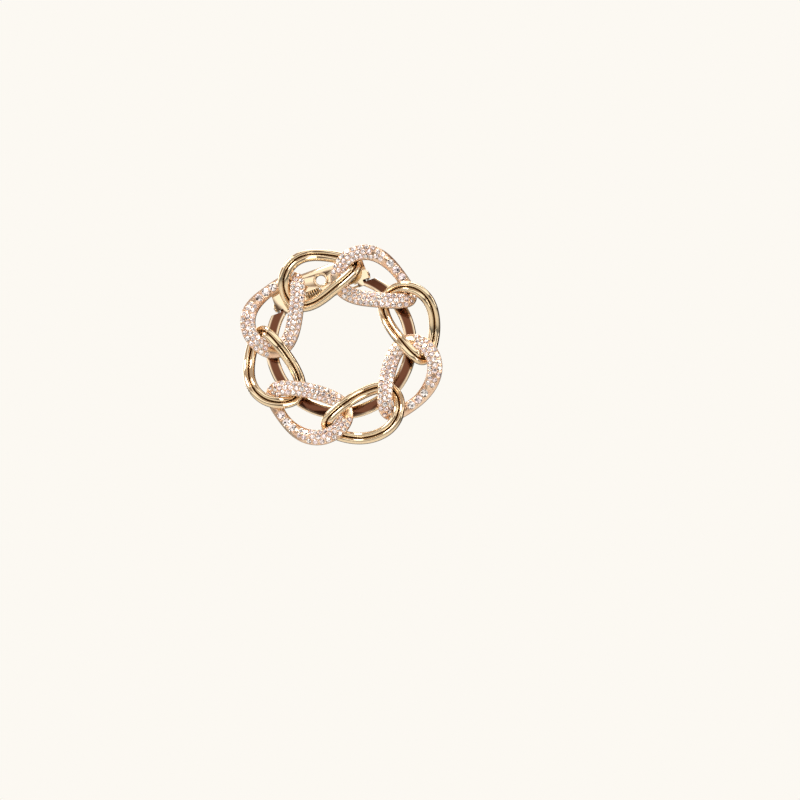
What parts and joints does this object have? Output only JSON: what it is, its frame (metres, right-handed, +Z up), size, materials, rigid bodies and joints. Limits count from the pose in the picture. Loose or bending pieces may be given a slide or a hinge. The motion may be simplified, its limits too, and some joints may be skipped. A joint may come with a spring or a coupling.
{
  "type": "scarf brooch",
  "caption": "Round scarf brooch: a wreath of interlocked polished and stone-set oval links with a sprung ring clip hinged behind it.",
  "frame": {"origin": "the wreath's centre, in the plane of the wreath's back, where it lies on the fabric", "axes": "+Z up as worn, the front looks along -Y and the clip ring is on the +Y side, +X to the wearer's left (right in a front view)"},
  "size_m": [0.0404, 0.0081, 0.0404],
  "materials": {
    "polished_gold": "mirror-polished light gold plate",
    "pave_gold": "bright-cut light gold plate",
    "clip_gold": "polished light gold plate",
    "solder": "smooth solder under gold plate",
    "spring_steel": "drawn wire",
    "stones": "faceted clear stones"
  },
  "bodies": {
    "wreath": {"polished_link_1": "polished_gold", "polished_link_2": "polished_gold", "polished_link_3": "polished_gold", "polished_link_4": "polished_gold", "pave_link_1": "pave_gold", "pave_link_2": "pave_gold", "pave_link_3": "pave_gold", "pave_link_4": "pave_gold", "outer_stones_1": "stones", "outer_stones_2": "stones", "outer_stones_3": "stones", "outer_stones_4": "stones", "inner_stones_1": "stones", "inner_stones_2": "stones", "inner_stones_3": "stones", "inner_stones_4": "stones", "end_stones_1": "stones", "end_stones_2": "stones", "end_stones_3": "stones", "end_stones_4": "stones", "large_stones_1": "stones", "large_stones_2": "stones", "large_stones_3": "stones", "large_stones_4": "stones", "link_solder": "solder", "clip_plate": "clip_gold", "eyelet": "clip_gold", "solder_post_1": "solder", "solder_post_2": "solder", "solder_post_3": "solder", "hinge_pin": "spring_steel", "pin_washer_1": "clip_gold", "pin_washer_2": "clip_gold", "torsion_spring": "spring_steel"},
    "ring": {"clip_ring": "clip_gold"}
  },
  "joints": [
    {"name": "clip_hinge", "type": "hinge", "parent": "wreath", "child": "ring", "pos_m": [-0.00431, 0.002, 0.01184], "axis": [0.9397, 0, 0.342], "range_deg": [0, 60], "stiffness_Nm_per_rad": 0.012, "springref_deg": -20.05, "deforming": ["torsion_spring"]}
  ]
}
